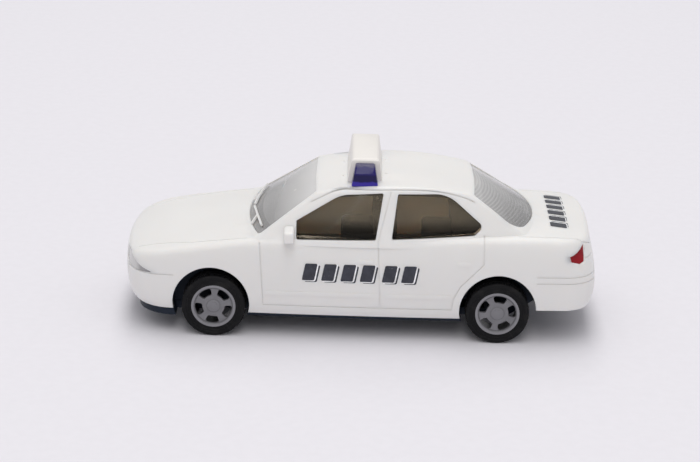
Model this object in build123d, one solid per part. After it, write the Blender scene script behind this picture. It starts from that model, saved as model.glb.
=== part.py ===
"""Plastic model of a four-door police saloon at 1:87, in millimetres.

+X points forwards, +Y to the car's left and +Z up. The origin is on the ground,
halfway along the car and on its centre line.
"""
from build123d import *
from functools import cache
from math import atan2, cos, degrees, radians, sin
import os

# The whole car
length = 52.4
width = 20.1
belt_height = 11.35       # foot of the side windows above the ground
cabin_height = 5.65       # belt to the crown of the roof
screen_rise = 4.95        # belt to the upper edge of the screens
wall = 0.6                # thickness of the moulded body
groove_depth = 0.09       # how deep the panel lines are cut
groove_width = 0.12
fit_gap = 0.04            # play between two mouldings that are pushed together
overrun = 1.0             # how far a cutting shape runs past what it cuts

# Lengths along the top of the car, from the nose backwards
bonnet_length = 13.35
windscreen_run = 8.0
roof_run = 16.85
rear_window_run = 9.0

# Wheels and axles
wheelbase = 31.1
front_overhang = 10.2
wheel_radius = 3.5
tyre_width = 2.4
tyre_shoulder = 0.55
rim_radius = 2.43
rim_lip = 0.26            # width of the ring round the rim's face
rim_face_depth = 0.16     # how far the face lies behind the ring
rim_face = 0.5            # thickness of the rim's face
rim_spokes = 5
rim_slot_angle = 38       # degrees that one slot takes up
rim_slot_edge = 0.22      # rounding of a slot's corners
rim_slot_gap = 0.14       # left between a slot and the ring
rim_turn_front = 58       # degrees from forwards to the first slot
rim_turn_rear = 26
hub_radius = 0.85
hub_slot_gap = 0.42       # from the hub to a slot
cap_radius = 0.42         # small cap in the middle of the rim
cap_rise = 0.07
wheel_inset = 0.35        # tyre's outer face inside the widest part of the body
axle_radius = 0.5
axle_play = 0.06
arch_gap = 0.72           # body's arch outside the tyre
arch_rise = 0.28          # arch's centre above the axle
front_arch_shift = 0.3    # front arch's centre ahead of the axle

# Chassis and inside
pan_bottom = 2.2          # underside of the chassis above the ground
pan_thickness = 0.8
liner_wall = 0.4
clip_width = 1.2
clip_snap = 0.15          # slot under an axle is this much narrower than the axle
exhaust_radius = 0.38     # pipe moulded under the pan
exhaust_side = 2.1        # from the centre line, on the right
exhaust_length = 22.0
silencer_length = 5.0
silencer_width = 3.0
silencer_drop = 0.3       # how far the silencer stands out under the pan
silencer_edge = 0.25
glass_thickness = 0.5
glass_recess = 0.1        # panes lie this far inside the outer face of the body
floor_thickness = 0.5

# Light bar on the roof
bar_length = 12.6         # across the car
bar_width = 2.9           # along the car
bar_height = 2.3
bar_middle = 9.6          # length of the white cover between the two beacons
bar_cover_step = 0.45     # white cover stands out past the beacons
bar_place = -0.2          # middle of the bar along the car
bar_foot = 0.35           # how far the bar reaches down over the crown of the roof
beacon_slope_height = 0.8 # slope at the outer end of a beacon
beacon_slope_length = 0.7
stud_radius = 0.16        # small pins on the roof before and behind the bar
stud_rise = 0.07
stud_gap = 0.28           # from the bar's cover to a pin's edge

nose_x = length / 2
tail_x = -length / 2
half_length = length / 2
half_width = width / 2
cowl_x = nose_x - bonnet_length
roof_front_x = cowl_x - windscreen_run
roof_rear_x = roof_front_x - roof_run
rear_base_x = roof_rear_x - rear_window_run
roof_middle_x = (roof_front_x + roof_rear_x) / 2
roof_height = belt_height + cabin_height
front_axle_x = nose_x - front_overhang
rear_axle_x = front_axle_x - wheelbase
wheel_face_y = half_width - wheel_inset
wheel_inner_y = wheel_face_y - tyre_width
arch_radius = wheel_radius + arch_gap
pan_top = pan_bottom + pan_thickness
bar_front_x = bar_place + bar_width / 2 + bar_cover_step
bar_rear_x = bar_place - bar_width / 2 - bar_cover_step
foot_length = cowl_x - rear_base_x
screen_angle = atan2(screen_rise, windscreen_run)
rear_angle = atan2(screen_rise, rear_window_run)

# Lower body, level by level: height, half width, nose and tail
# as shares of the belt height, half the width and half the length
tub_level_shares = (
    (0.242, 0.950, 0.955, 0.962),
    (0.330, 0.985, 0.985, 0.978),
    (0.620, 1.000, 1.000, 1.000),
    (0.800, 0.985, 0.985, 0.985),
    (0.960, 0.940, 0.950, 0.968),
    (1.140, 0.870, 0.905, 0.950),
)
# How far the nose, the tail and the two ends of the flanks bow, as shares of half the width
nose_bow_share = 0.130
tail_bow_share = 0.080
front_flank_share = 0.075
rear_flank_share = 0.060
nose_corner_share = 0.42
tail_corner_share = 0.33

# Top of bonnet, cowl and boot: place along the car and height on the centre line
# as shares of half the length and of the belt height
deck_shares = (
    (1.06, 0.690),
    (0.955, 0.805),
    (0.840, 0.885),
    (0.650, 0.958),
    (0.480, 1.012),
    (0.190, 1.040),
    (-0.190, 1.060),
    (-0.570, 1.085),
    (-0.760, 1.082),
    (-0.935, 1.062),
    (-1.060, 1.020),
)
deck_crown_share = 0.060      # fall of the deck from the middle to the edge, of half the width
deck_edge = 0.9               # rounding along the edge of bonnet and boot
deck_line_foot = 8.0          # lines on bonnet and boot are cut from this height up
deck_slope_limit = 0.6        # radians: steeper faces are flanks

# Cabin: half widths as shares of half the width, at the belt and at the roof
cabin_foot_front_share = 0.865
cabin_foot_middle_share = 0.925
cabin_foot_rear_share = 0.770
cabin_roof_front_share = 0.640
cabin_roof_middle_share = 0.705
cabin_roof_rear_share = 0.600
windscreen_bow_share = 0.145  # of half the width
screen_top_bow_share = 0.035
rear_foot_bow_share = 0.215
rear_top_bow_share = 0.070
roof_crown_share = 0.050      # fall of the roof to its sides, of half the width
roof_arch_share = 0.145       # fall of the roof to its ends, of the cabin's height
cabin_reach_shares = (-0.12, 1.2)   # how far the cabin's flanks run, of screen_rise
cabin_edge = 0.7              # rounding of the pillars and of the roof's edge
slant_share = 0.05            # a pillar's edge leans at least this much across the car
flank_share = 0.6             # cuts in the flanks start at this share of half the width
roof_sector = 80              # degrees

# Side windows: place as shares of the cabin's foot, from the cowl back,
# and height above the belt as shares of the cabin's height
front_window_shares = (
    (0.170, -0.010),
    (0.169, 0.320),
    (0.309, 0.800),
    (0.447, 0.862),
    (0.425, 0.025),
)
rear_window_shares = (
    (0.476, 0.042),
    (0.493, 0.852),
    (0.652, 0.852),
    (0.773, 0.270),
    (0.743, 0.115),
)
window_corner = 0.18          # rounding of the sharp window corners
window_turn = 0.55            # rounding of the rear window's two rear corners
window_bend = 4.0             # rounding of the front window's top and the rear one's shoulder
front_window_corners = (window_corner, window_corner, window_bend, window_corner, window_corner)
rear_window_corners = (window_corner, window_corner, window_bend, window_turn, window_turn)
pillar_width = 0.32           # pillar left between a screen's glass and the cabin's corner
cowl_lip = 0.3                # body left below the windscreen's glass, along the slope
rear_lip = 2.15               # from the rear screen's foot, under the boot, up to its glass
header_lip = 0.4              # body left above a screen's glass
windscreen_corner = 0.45      # rounding of the windscreen's corners
rear_screen_corner = 1.9      # rounding of the rear window's lower corners

# Panel lines in side view, in the same shares as the windows below the belt:
# place from the cowl back and height as a share of the belt height
door_front_shares = ((0.053, 0.955), (0.068, 0.345))
door_middle_shares = ((0.433, 1.000), (0.446, 0.345))
door_rear_shares = ((0.774, 1.057), (0.774, 0.810), (0.740, 0.705), (0.702, 0.590),
                    (0.681, 0.458), (0.675, 0.345))
pillar_line_shares = ((0.433, 1.000), (0.470, 1.440))
rail_shares = ((0.214, 1.325), (0.244, 1.366), (0.274, 1.409), (0.380, 1.451),
               (0.563, 1.456), (0.690, 1.401), (0.741, 1.345))
side_strip_share = 0.474                # middle height of the strip on the doors
side_strip_end_shares = (0.074, 0.429, 0.462, 0.671)    # ends of its two lengths, from the cowl back
side_strip_height = 0.45
side_strip_rise = 0.06

# Bonnet and boot lines in plan: place as a share of half the length,
# distance from the centre line as a share of half the width
bonnet_line_shares = ((0.480, 0.830), (0.700, 0.800), (0.930, 0.660))
boot_line_shares = ((-0.655, 0.790), (-0.930, 0.760))
bumper_front_shares = (0.615,)           # heights of the lines round the front bumper, of the belt
bumper_rear_shares = (0.695, 0.632)
# Lines on the nose and the tail: distance from the centre line and height
bonnet_front_shares = ((-0.430, 0.752), (0.430, 0.752))
boot_rear_shares = ((0.745, 1.000), (0.560, 0.940), (0.520, 0.700))
tail_panel_shares = ((0.800, 0.860), (0.540, 0.860))

# Lamps in front or rear view: distance from the centre line as a share of half the width
# and height as a share of the belt height
headlamp_shares = ((0.440, 0.636), (0.800, 0.612), (0.945, 0.622), (0.790, 0.702),
                   (0.655, 0.764), (0.440, 0.748))
tail_lamp_shares = ((0.735, 1.012), (0.905, 0.895), (0.918, 0.845), (0.876, 0.814),
                    (0.825, 0.832), (0.790, 0.900))
headlamp_back_share = 0.842       # rear end of the headlamp, of half the length
tail_lamp_front_share = 0.850
lamp_depth = 0.9
lamp_corner = 0.12
grille_shares = (0.240, 0.640, 0.715)   # half width, bottom and top
intake_shares = (0.480, 0.360, 0.470)
grille_round_share = 0.4          # rounding of both openings, of their height
grille_depth = 0.5
grille_bars = 3
grille_bar_share = 0.5            # of the distance from one bar to the next

# Door handles: middle from the cowl back and height, as in the panel lines
handle_shares = ((0.397, 0.812), (0.710, 0.812))
handle_length = 1.5
handle_height = 0.42
handle_rise = 0.08
handle_edge = 0.05

# Underside of the bumpers
front_bumper_bottom = 2.95
rear_bumper_bottom = 4.0
lip_bottom = 2.05
lip_inset = 0.1               # dark lip inside the bumper's lower edge
tail_pan_gap = 0.15           # chassis behind the rear wheels above the bumper's lower edge

# Inside
seat_width = 3.7
seat_place_share = 0.44       # middle of a front seat from the centre line, of half the width
seat_back_thickness = 3.7
seat_cushion_height = 2.6
seat_round = 0.8
cushion_round = 0.4
seat_length = 7.2
front_seat_set = 14.2         # rear face of the front seats behind the foot of the windscreen
rear_seat_set = 4.4           # rear face of the rear seat ahead of the rear axle
seat_top_share = 0.812        # top of the seat backs, of the belt height
shelf_share = 0.955           # top of the shelf behind the rear seat
dash_set = 1.85               # front face of the dashboard behind the foot of the windscreen
dash_length = 3.2
dash_share = 0.885
dash_foot_share = 0.5
console_width = 1.7
console_share = 0.5
post_thickness = 0.45         # inner posts between the doors
post_length = 2.6
post_place_share = 0.454      # middle of the posts, from the cowl back
post_top_share = 1.25
steering_radius = 1.6
steering_rim = 0.2
steering_column = 0.3
steering_tilt = 62            # degrees from level
steering_gap = 1.2            # column from the dashboard to the wheel

# Small pieces outside
mirror_length = 1.15          # along the car
mirror_height = 1.3
mirror_reach = 1.35           # out from the window's foot
mirror_round = 0.3
mirror_sink = 0.05            # mirror's foot below the belt
mirror_place_share = 0.148    # of the cabin's foot, from the cowl back
wiper_thickness = 0.22
wiper_blade = 6.7
wiper_arm = 1.7
wiper_set = 1.54              # blade's middle above the foot of the windscreen, along the slope
wiper_tilt = 8.4              # degrees
wiper_arm_tilt = 26
wiper_spread_share = 0.73     # from one blade's middle to the other's, of half the width
bar_edge = 0.4                # slant and rounding of the light bar's cover
beacon_edge = 0.2


def arch_centre(front):
    """Centre of a wheel arch in side view."""
    if front:
        return front_axle_x + front_arch_shift, wheel_radius + arch_rise
    return rear_axle_x, wheel_radius + arch_rise


def bowed_face(height, front, rear, front_y, middle_y, rear_y, front_bow, rear_bow):
    """Plan outline of four bowed sides, at one height."""
    middle = (front + rear) / 2
    front_x = front - front_bow
    rear_x = rear + rear_bow
    sides = [
        ThreePointArc((front_x, -front_y), (front, 0), (front_x, front_y)),
        ThreePointArc((front_x, front_y), (middle, middle_y), (rear_x, rear_y)),
        ThreePointArc((rear_x, rear_y), (rear, 0), (rear_x, -rear_y)),
        ThreePointArc((rear_x, -rear_y), (middle, -middle_y), (front_x, -front_y)),
    ]
    return Plane.XY.offset(height) * make_face(sides)


def tub_face(level, inset):
    """One level of the lower body with rounded corners, drawn in by an inset."""
    height, wide, nose, tail = level
    side = half_width * wide - inset
    face = bowed_face(
        height * belt_height,
        half_length * nose - inset,
        inset - half_length * tail,
        side - half_width * front_flank_share,
        side,
        side - half_width * rear_flank_share,
        half_width * nose_bow_share,
        half_width * tail_bow_share,
    )
    face = fillet(face.vertices().sort_by(Axis.X)[-2:], half_width * nose_corner_share - inset)
    return fillet(face.vertices().sort_by(Axis.X)[:2], half_width * tail_corner_share - inset)


def deck(sink):
    """Space under the crowned bonnet, cowl and boot."""
    reach = half_width + overrun
    fall = half_width * deck_crown_share * (reach / half_width) ** 2
    faces = []
    for place, height in deck_shares:
        top = height * belt_height - sink
        outline = [
            Line((-reach, -overrun), (reach, -overrun)),
            Line((reach, -overrun), (reach, top - fall)),
            ThreePointArc((reach, top - fall), (0, top), (-reach, top - fall)),
            Line((-reach, top - fall), (-reach, -overrun)),
        ]
        plane = Plane(origin=(place * half_length, 0, 0), x_dir=(0, 1, 0), z_dir=(1, 0, 0))
        faces.append(plane * make_face(outline))
    return loft(faces)


@cache
def tub(inset, rounded=0.0):
    """Lower body as a solid, drawn in by an inset."""
    solid = loft([tub_face(level, inset) for level in tub_level_shares])
    solid = solid & deck(inset)
    if rounded > 0:
        top = [face for face in solid.faces()
               if face.normal_at(face.center()).Z > cos(deck_slope_limit)
               and face.center().Z > belt_height / 2]
        solid = fillet([edge for face in top for edge in face.edges()], rounded)
    return solid


def cabin_outline(share, inset):
    """Plan outline of the cabin at a share of the way from belt to roof outline."""
    def between(foot, top):
        return foot + (top - foot) * share

    def across(foot_share, top_share):
        return half_width * between(foot_share, top_share)

    return bowed_face(
        belt_height + screen_rise * share,
        between(cowl_x, roof_front_x) - inset / sin(screen_angle),
        between(rear_base_x, roof_rear_x) + inset / sin(rear_angle),
        across(cabin_foot_front_share, cabin_roof_front_share) - inset,
        across(cabin_foot_middle_share, cabin_roof_middle_share) - inset,
        across(cabin_foot_rear_share, cabin_roof_rear_share) - inset,
        across(windscreen_bow_share, screen_top_bow_share),
        across(rear_foot_bow_share, rear_top_bow_share),
    )


def roof(sink):
    """Space under the crowned roof, turned about an axis far below it."""
    fall = cabin_height * roof_arch_share
    sweep = (roof_run / 2) ** 2 / (2 * fall)
    reach = half_width + overrun
    edge = sweep - sink - half_width * roof_crown_share * (reach / half_width) ** 2
    outline = [
        Line((-reach, 0), (reach, 0)),
        Line((reach, 0), (reach, edge)),
        ThreePointArc((reach, edge), (0, sweep - sink), (-reach, edge)),
        Line((-reach, edge), (-reach, 0)),
    ]
    foot = (roof_middle_x, 0, roof_height - sweep)
    section = Plane(origin=foot, x_dir=(0, 1, 0), z_dir=(1, 0, 0)) * make_face(outline)
    axis = Axis(foot, (0, 1, 0))
    return revolve(section, axis, roof_sector).rotate(axis, -roof_sector / 2)


@cache
def cabin(inset, rounded=0.0):
    """Glasshouse as a solid, from inside the lower body to the roof."""
    foot, head = cabin_reach_shares
    solid = loft([cabin_outline(foot, inset), cabin_outline(head, inset)], ruled=True)
    solid = solid & roof(inset)
    if rounded > 0:
        top = solid.faces().sort_by(Axis.Z)[-1]
        pillars = [edge for edge in solid.edges() if abs(edge.center().Y) > half_width / 2
                   and edge not in top.edges() and edge.length > cabin_height
                   and abs((edge % 0.5).Y) > slant_share]
        solid = fillet(list(top.edges()) + pillars, rounded)
    return solid


def pick_prism(shape, near, far):
    """A shape drawn in side view, run out across the car on both sides."""
    solid = extrude(Plane.XZ.offset(-near) * shape, amount=near - far)
    return [solid, mirror(solid, Plane.XZ)]


def foot_point(place, height):
    """Side view point: share of the cabin's foot and height above the ground."""
    return cowl_x - place * foot_length, height


def window_shape(shares, corners):
    """Side window outline with its corners rounded."""
    points = [foot_point(place, belt_height + rise * cabin_height) for place, rise in shares]
    shape = make_face(Polyline(*points, close=True))
    for point, radius in zip(points, corners):
        corner = shape.vertices().sort_by_distance((point[0], point[1], 0))[0]
        shape = fillet(corner, radius)
    return shape


def screen_prism(foot_x, angle, run, foot_y, head_y, bow, lip, corner, play):
    """Opening of the windscreen or rear window, run through along its own normal."""
    facing = 1 if foot_x > 0 else -1
    slope = run / cos(angle)
    middle = (foot_x - facing * run / 2, 0, belt_height + screen_rise / 2)
    plane = Plane(origin=middle, x_dir=(0, facing, 0), z_dir=(facing * sin(angle), 0, cos(angle)))
    low = lip - slope / 2 + play
    high = slope / 2 - header_lip - play
    low_y = foot_y - pillar_width - play
    high_y = head_y - pillar_width - play
    rise = bow * cos(angle)
    shape = make_face([
        ThreePointArc((-low_y, low + rise), (0, low), (low_y, low + rise)),
        Line((low_y, low + rise), (high_y, high)),
        Line((high_y, high), (-high_y, high)),
        Line((-high_y, high), (-low_y, low + rise)),
    ])
    shape = fillet(shape.vertices().group_by(Axis.Y)[-1], windscreen_corner)
    shape = fillet(shape.vertices().sort_by(Axis.X)[:1] + shape.vertices().sort_by(Axis.X)[-1:], corner)
    reach = wall + overrun
    return extrude(plane.offset(-reach) * shape, amount=reach + overrun)


def window_prisms(play):
    """All window openings, made smaller by the play of the panes."""
    prisms = []
    for shares, corners in ((front_window_shares, front_window_corners),
                            (rear_window_shares, rear_window_corners)):
        shape = window_shape(shares, corners)
        if play > 0:
            shape = offset(shape, -play)
        prisms += pick_prism(shape, half_width * flank_share, half_width + overrun)
    prisms.append(screen_prism(
        cowl_x, screen_angle, windscreen_run,
        half_width * cabin_foot_front_share, half_width * cabin_roof_front_share,
        half_width * windscreen_bow_share, cowl_lip, windscreen_corner, play))
    prisms.append(screen_prism(
        rear_base_x, rear_angle, rear_window_run,
        half_width * cabin_foot_rear_share, half_width * cabin_roof_rear_share,
        half_width * rear_foot_bow_share, rear_lip, rear_screen_corner, play))
    return prisms


def groove_strip(points):
    """Thin strip along a chain of points, as wide as a panel line."""
    strips = []
    for start, end in zip(points[:-1], points[1:]):
        run = Line(start, end)
        angle = degrees(atan2(end[1] - start[1], end[0] - start[0]))
        strips.append(Pos(run @ 0.5) * Rot(0, 0, angle)
                      * Rectangle(run.length + groove_width, groove_width))
    shape = strips[0]
    for strip in strips[1:]:
        shape = shape + strip
    return shape


def rail_strip():
    """Curved strip along the edge of the roof, in side view."""
    points = [foot_point(place, height * belt_height) for place, height in rail_shares]
    upper = [(x, z + groove_width / 2) for x, z in points]
    lower = [(x, z - groove_width / 2) for x, z in points]
    return make_face([
        Spline(*upper),
        Line(upper[-1], lower[-1]),
        Spline(*reversed(lower)),
        Line(lower[0], upper[0]),
    ])


def side_cuts(shapes):
    """Shapes drawn in side view, cut into both flanks."""
    cutters = []
    for shape in shapes:
        cutters += pick_prism(shape, half_width * flank_share, half_width + overrun)
    return cutters


def end_strips(shares, from_x, to_x):
    """Strips along a chain of points in front view, on both sides."""
    chain = [(across * half_width, height * belt_height) for across, height in shares]
    plane = Plane(origin=(from_x, 0, 0), x_dir=(0, 1, 0), z_dir=(1, 0, 0))
    strip = extrude(plane * groove_strip(chain), amount=to_x - from_x)
    return [strip, mirror(strip, Plane.XZ)]


def panel_lines():
    """Shut lines of doors, bonnet and boot, roof rails and lines round the bumpers."""
    chains = []
    for shares in (door_front_shares, door_middle_shares, door_rear_shares, pillar_line_shares):
        chains.append([foot_point(place, height * belt_height) for place, height in shares])
    chains.append([chains[0][-1], chains[2][-1]])
    cutters = side_cuts([groove_strip(chain) for chain in chains] + [rail_strip()])
    for chain in (bonnet_line_shares, boot_line_shares):
        points = [(place * half_length, across * half_width) for place, across in chain]
        strip = extrude(Plane.XY.offset(deck_line_foot) * groove_strip(points), amount=belt_height)
        cutters += [strip, mirror(strip, Plane.XZ)]
    front_x = arch_centre(True)[0] + arch_radius - groove_width
    rear_x = arch_centre(False)[0] - arch_radius + groove_width
    reach = 2 * (half_width + overrun)
    for height in bumper_front_shares:
        cutters.append(Pos((front_x + nose_x + overrun) / 2, 0, height * belt_height)
                       * Box(nose_x + overrun - front_x, reach, groove_width))
    for height in bumper_rear_shares:
        cutters.append(Pos((rear_x + tail_x - overrun) / 2, 0, height * belt_height)
                       * Box(rear_x - tail_x + overrun, reach, groove_width))
    cutters += end_strips(bonnet_front_shares, headlamp_back_share * half_length, nose_x + overrun)
    for shares in (boot_rear_shares, tail_panel_shares):
        cutters += end_strips(shares, tail_x - overrun, -tail_lamp_front_share * half_length)
    return Part() + cutters


def side_strips():
    """Protective strips along the doors of both flanks."""
    pieces = []
    z = side_strip_share * belt_height
    front_a, rear_a, front_b, rear_b = [foot_point(share, z)[0] for share in side_strip_end_shares]
    for front_x, rear_x in ((front_a, rear_a), (front_b, rear_b)):
        strip = Pos((front_x + rear_x) / 2, half_width - wall / 2, z) * Box(
            front_x - rear_x, wall + overrun, side_strip_height)
        strip = strip & tub(-side_strip_rise)
        pieces += [strip, mirror(strip, Plane.XZ)]
    return pieces


def end_prism(shares, from_x, to_x, play):
    """Lamp outline drawn in front view on the left side, run along the car."""
    points = [(across * half_width, height * belt_height) for across, height in shares]
    shape = make_face(Polyline(*points, close=True))
    shape = fillet(shape.vertices(), lamp_corner)
    if play > 0:
        shape = offset(shape, -play)
    plane = Plane(origin=(min(from_x, to_x), 0, 0), x_dir=(0, 1, 0), z_dir=(1, 0, 0))
    return extrude(plane * shape, amount=abs(to_x - from_x))


def headlamp_prism(play):
    return end_prism(headlamp_shares, headlamp_back_share * half_length + play, nose_x + overrun, play)


def tail_lamp_prism(play):
    return end_prism(tail_lamp_shares, tail_x - overrun, -tail_lamp_front_share * half_length - play, play)


def opening_box(shares, depth):
    """Rounded opening on the centre line of the nose."""
    wide, low, high = shares
    tall = (high - low) * belt_height
    outline = RectangleRounded(2 * wide * half_width, tall, tall * grille_round_share)
    plane = Plane(origin=(nose_x - depth, 0, (low + high) / 2 * belt_height),
                  x_dir=(0, 1, 0), z_dir=(1, 0, 0))
    return extrude(plane * outline, amount=depth + overrun)


def arch_cutter(front, radius, near, far):
    """Wheel arch on both sides, from near to far across the car."""
    x, z = arch_centre(front)
    cutters = []
    for side in (1, -1):
        middle = side * (near + far) / 2
        cutters.append(Pos(x, middle, z) * Rot(90, 0, 0) * Cylinder(radius, far - near))
    return cutters


def handles():
    """Door handles on both flanks."""
    pieces = []
    for place, height in handle_shares:
        x, z = foot_point(place, height * belt_height)
        handle = Pos(x, half_width - wall / 2, z) * Box(handle_length, wall, handle_height)
        handle = fillet(handle.edges().filter_by(Axis.Y), handle_height / 2 - handle_edge)
        pieces += [handle, mirror(handle, Plane.XZ)]
    return pieces


def body_shell():
    """Moulded body with its windows, arches, lamp openings and panel lines."""
    skin = tub(0, deck_edge) + cabin(0, cabin_edge)
    floor = tub(groove_depth, deck_edge) + cabin(groove_depth, cabin_edge)
    lines = panel_lines() - floor
    studs = []
    for x in (bar_front_x + stud_gap + stud_radius, bar_rear_x - stud_gap - stud_radius):
        for y in (-bar_middle / 4, bar_middle / 4):
            studs.append(Pos(x, y, roof_height) * Cylinder(stud_radius, 2 * wall))
    skin += [stud & roof(-stud_rise) - roof(wall / 2) for stud in studs]
    skin += [handle & tub(-handle_rise) for handle in handles()] + side_strips()
    lamps = [headlamp_prism(0), tail_lamp_prism(0)]
    lamps += [mirror(lamp, Plane.XZ) for lamp in lamps]
    openings = [opening_box(shares, grille_depth + half_width * nose_bow_share)
                for shares in (grille_shares, intake_shares)]
    arches = []
    for front in (True, False):
        arches += arch_cutter(front, arch_radius, half_width * flank_share, half_width + overrun)
    reach = 2 * (half_width + overrun)
    front_x = arch_centre(True)[0]
    rear_x = arch_centre(False)[0]
    feet = [
        Pos((front_x + nose_x + overrun) / 2, 0, front_bumper_bottom / 2)
        * Box(nose_x + overrun - front_x, reach, front_bumper_bottom),
        Pos((rear_x + tail_x - overrun) / 2, 0, rear_bumper_bottom / 2)
        * Box(rear_x - tail_x + overrun, reach, rear_bumper_bottom),
    ]
    shell = skin - (tub(wall) + cabin(wall))
    return shell - ([lines] + window_prisms(0) + lamps + openings + arches + feet)


def glazing():
    """One clear moulding: a cap inside the cabin with panes that fill the windows."""
    seat = wall + fit_gap
    lining = cabin(seat)
    cap = lining - cabin(seat + glass_thickness)
    top = 2 * roof_height
    cap = cap & Pos(0, 0, belt_height + top / 2) * Box(length, width, top)
    panes = cabin(glass_recess, cabin_edge) - lining
    return cap + [panes & prism for prism in window_prisms(fit_gap)]


def chassis():
    """Floor pan with the front lip, wheel housings and axle clips."""
    reach = half_width
    rear_arch_x = arch_centre(False)[0]
    front_arch_x = arch_centre(True)[0]
    clip_reach = axle_radius + 2 * liner_wall
    lip_top = front_bumper_bottom - fit_gap
    tail_pan_bottom = rear_bumper_bottom + tail_pan_gap
    profile = Polyline(
        (nose_x, lip_top - pan_thickness / 2),
        (front_arch_x + arch_radius, lip_top - pan_thickness / 2),
        (front_axle_x + clip_reach, pan_bottom),
        (rear_axle_x - clip_reach, pan_bottom),
        (rear_arch_x - arch_radius, tail_pan_bottom),
        (tail_x, tail_pan_bottom),
        (tail_x, tail_pan_bottom + pan_thickness / 2),
        (rear_arch_x - arch_radius, tail_pan_bottom + pan_thickness),
        (rear_axle_x - clip_reach, pan_top),
        (front_axle_x + clip_reach, pan_top),
        (front_arch_x + arch_radius, lip_top),
        (nose_x, lip_top),
        close=True)
    slab = extrude(Plane.XZ.offset(-reach) * make_face(profile), amount=2 * reach)
    inset = wall + fit_gap
    foot_level = (0, *tub_level_shares[0][1:])
    column = extrude(Plane.XY * tub_face(foot_level, inset), amount=belt_height)
    pan = slab & column
    lip = extrude(Plane.XY.offset(lip_bottom) * tub_face(foot_level, lip_inset),
                  amount=lip_top - lip_bottom)
    pan += lip & Pos((front_arch_x + nose_x) / 2, 0, lip_bottom) * Box(
        nose_x - front_arch_x, width, belt_height)
    space = tub(inset)
    cheek_outer = wheel_inner_y - tyre_shoulder
    cheek_inner = cheek_outer - clip_width
    for front in (True, False):
        axle_x = front_axle_x if front else rear_axle_x
        pan = pan - arch_cutter(front, arch_radius, cheek_outer, half_width + overrun)
        outer = arch_cutter(front, arch_radius + liner_wall, cheek_outer - liner_wall, half_width)
        inner = arch_cutter(front, arch_radius, cheek_outer, half_width + overrun)
        liner_bottom = (front_bumper_bottom if front else rear_bumper_bottom) + fit_gap
        low = Pos(axle_x, 0, liner_bottom - belt_height) * Box(length, 2 * width, 2 * belt_height)
        for ring, hole in zip(outer, inner):
            pan = pan + ((ring - hole) & space - low)
        for side in (1, -1):
            middle = side * (cheek_outer + cheek_inner) / 2
            boss = Pos(axle_x, middle, wheel_radius) * Rot(90, 0, 0) * Cylinder(clip_reach, clip_width)
            post_height = wheel_radius - pan_bottom
            boss += Pos(axle_x, middle, pan_bottom + post_height / 2) * Box(
                2 * clip_reach, clip_width, post_height)
            pan = pan + boss
        bore = Pos(axle_x, 0, wheel_radius) * Rot(90, 0, 0) * Cylinder(axle_radius + axle_play, width)
        slot = Pos(axle_x, 0, wheel_radius / 2) * Box(2 * axle_radius - clip_snap, width, wheel_radius)
        pan = pan - bore - slot
    silencer_x = rear_axle_x + clip_reach + silencer_length
    silencer = Pos(silencer_x, -exhaust_side, pan_bottom) * Box(
        silencer_length, silencer_width, 2 * silencer_drop)
    silencer = fillet(silencer.edges().group_by(Axis.Z)[0], silencer_edge)
    pipe = Pos(silencer_x + exhaust_length / 2, -exhaust_side, pan_bottom) * Rot(0, 90, 0) * Cylinder(
        exhaust_radius, exhaust_length)
    return pan + silencer + pipe


def block(x_front, x_rear, z_low, z_high, y_middle, wide, rounding=0.0):
    """Upright block, with rounded upper edges."""
    shape = Pos((x_front + x_rear) / 2, y_middle, (z_low + z_high) / 2) * Box(
        x_front - x_rear, wide, z_high - z_low)
    if rounding > 0:
        shape = fillet(shape.edges().group_by(Axis.Z)[-1], rounding)
    return shape


def interior():
    """Dark moulding with the floor, seats, posts, shelf and dashboard."""
    space = tub(wall + fit_gap) + cabin(wall + fit_gap + glass_thickness + fit_gap)
    deep = 2 * wheel_face_y
    front = front_axle_x + front_arch_shift - arch_radius - liner_wall - fit_gap
    rear = rear_axle_x + arch_radius + liner_wall + fit_gap
    base = pan_top
    floor_top = base + floor_thickness
    cushion_top = floor_top + seat_cushion_height
    seat_top = seat_top_share * belt_height
    shelf_top = shelf_share * belt_height
    front_back_x = cowl_x - front_seat_set
    rear_back_x = rear_axle_x + rear_seat_set
    dash_front_x = cowl_x - dash_set
    dash_rear_x = dash_front_x - dash_length
    dash_foot = dash_foot_share * belt_height
    parts = [block(front, rear, base, floor_top, 0, deep)]
    seat_y = seat_place_share * half_width
    places = ((front_back_x, seat_y, seat_width), (front_back_x, -seat_y, seat_width),
              (rear_back_x, 0, 2 * seat_y + seat_width))
    for back_x, y_middle, wide in places:
        parts.append(block(back_x + seat_length, back_x, base, cushion_top, y_middle, wide,
                           cushion_round))
        parts.append(block(back_x + seat_back_thickness, back_x, base, seat_top, y_middle, wide,
                           seat_round))
    parts.append(block(rear_back_x + floor_thickness, rear_base_x, shelf_top - floor_thickness,
                       shelf_top, 0, deep))
    parts.append(block(rear_back_x + floor_thickness, rear_back_x, base, shelf_top, 0,
                       2 * seat_y + seat_width))
    parts.append(block(dash_front_x, dash_rear_x, dash_foot, dash_share * belt_height, 0, deep,
                       cushion_round))
    parts.append(block(dash_front_x, front_back_x, base, console_share * belt_height, 0,
                       console_width, cushion_round))
    post_x = foot_point(post_place_share, 0)[0]
    post_y = (half_width * flank_share + wheel_face_y) / 2
    post_reach = wheel_face_y - half_width * flank_share
    hollow = cabin(wall + 2 * fit_gap + glass_thickness + post_thickness)
    for side in (1, -1):
        post = block(post_x + post_length / 2, post_x - post_length / 2, base,
                     post_top_share * belt_height, side * post_y, post_reach)
        parts.append(post - hollow)
    return (Part() + parts) & space


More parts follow.
